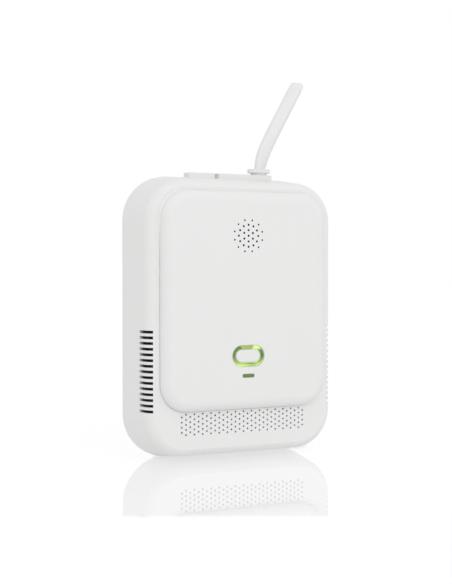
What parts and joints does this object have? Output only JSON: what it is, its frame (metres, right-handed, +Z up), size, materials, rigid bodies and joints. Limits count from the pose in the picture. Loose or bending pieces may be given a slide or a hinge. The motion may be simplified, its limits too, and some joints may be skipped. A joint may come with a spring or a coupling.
{
  "type": "carbon monoxide detector",
  "caption": "White mains-powered carbon monoxide alarm with a raised front plate, a ringed test button, sounder and air holes, side slots, a wall bracket and a flat cord with a plug.",
  "frame": {"origin": "middle of the bottom of the box round the alarm, measured without its free cord, coil and plug", "axes": "+X to the right seen from the front, +Y from the front plate to the wall bracket, +Z up"},
  "size_m": [0.1397, 0.1502, 0.1788],
  "materials": {
    "case_white": "fine satin moulding, warm white",
    "light_ring_green": "clear green light guide",
    "lens_olive": "tinted light pipe",
    "lamp_clear": "moulded lamp",
    "component_black": "moulded",
    "brass_disc": "rolled",
    "foam_black": "closed-cell foam",
    "mesh_dark": "fine woven mesh",
    "mesh_grey": "fine woven mesh",
    "sensor_metal": "drawn can",
    "filter_white": "porous membrane",
    "board_green": "lacquered board",
    "component_tan": "ceramic",
    "component_blue": "dipped coating and wire insulation",
    "fuse_glass": "clear tube",
    "terminal_green": "moulded",
    "screw_steel": "zinc plated",
    "cord_white": "soft sheath and moulded plug, satin white",
    "pin_brass": "nickel plated"
  },
  "bodies": {
    "root": {"front_housing": "case_white", "front_plate": "case_white", "rear_cover": "case_white", "button_light_ring": "light_ring_green", "status_lens": "lens_olive", "test_switch": "component_black", "ring_lamps": "lamp_clear", "status_lamp": "lamp_clear", "light_shroud": "component_black", "sounder_chamber": "component_black", "piezo_disc": "brass_disc", "sounder_gasket": "foam_black", "sounder_mesh": "mesh_dark", "chin_mesh": "mesh_grey", "co_sensor": "sensor_metal", "sensor_filter": "filter_white", "circuit_board": "board_green", "controller_chip": "component_black", "clock_crystal": "sensor_metal", "passive_parts": "component_tan", "power_module": "component_black", "filter_capacitors": "component_black", "varistor": "component_blue", "fuse_tube": "fuse_glass", "fuse_clips": "terminal_green", "terminal_block": "terminal_green", "terminal_screws": "screw_steel", "cord_gland": "case_white", "cord_tail": "cord_white", "cord_clamp": "case_white", "clamp_screws": "screw_steel", "board_screws": "screw_steel", "case_screws": "screw_steel", "lead_wires": "component_blue", "mains_cord": "cord_white", "cord_coil": "cord_white", "plug_relief": "cord_white", "plug_body": "cord_white", "plug_pins": "pin_brass", "pin_sleeves": "component_black"},
    "button": {"test_button": "case_white"},
    "plunger": {"switch_plunger": "component_black"},
    "bracket": {"wall_bracket": "case_white"}
  },
  "joints": [
    {"name": "button_press", "type": "slide", "parent": "root", "child": "button", "axis": [0, 1, 0], "range_m": [0, 0.0008], "stiffness_N_per_m": 1500},
    {"name": "plunger_press", "type": "slide", "parent": "root", "child": "plunger", "axis": [0, 1, 0], "range_m": [0, 0.0008]},
    {"name": "bracket_lift", "type": "slide", "parent": "root", "child": "bracket", "axis": [0, 0, -1], "range_m": [0, 0.008]}
  ],
  "couplings": [
    {"joint": "plunger_press", "follows": "button_press", "ratio": 1}
  ]
}
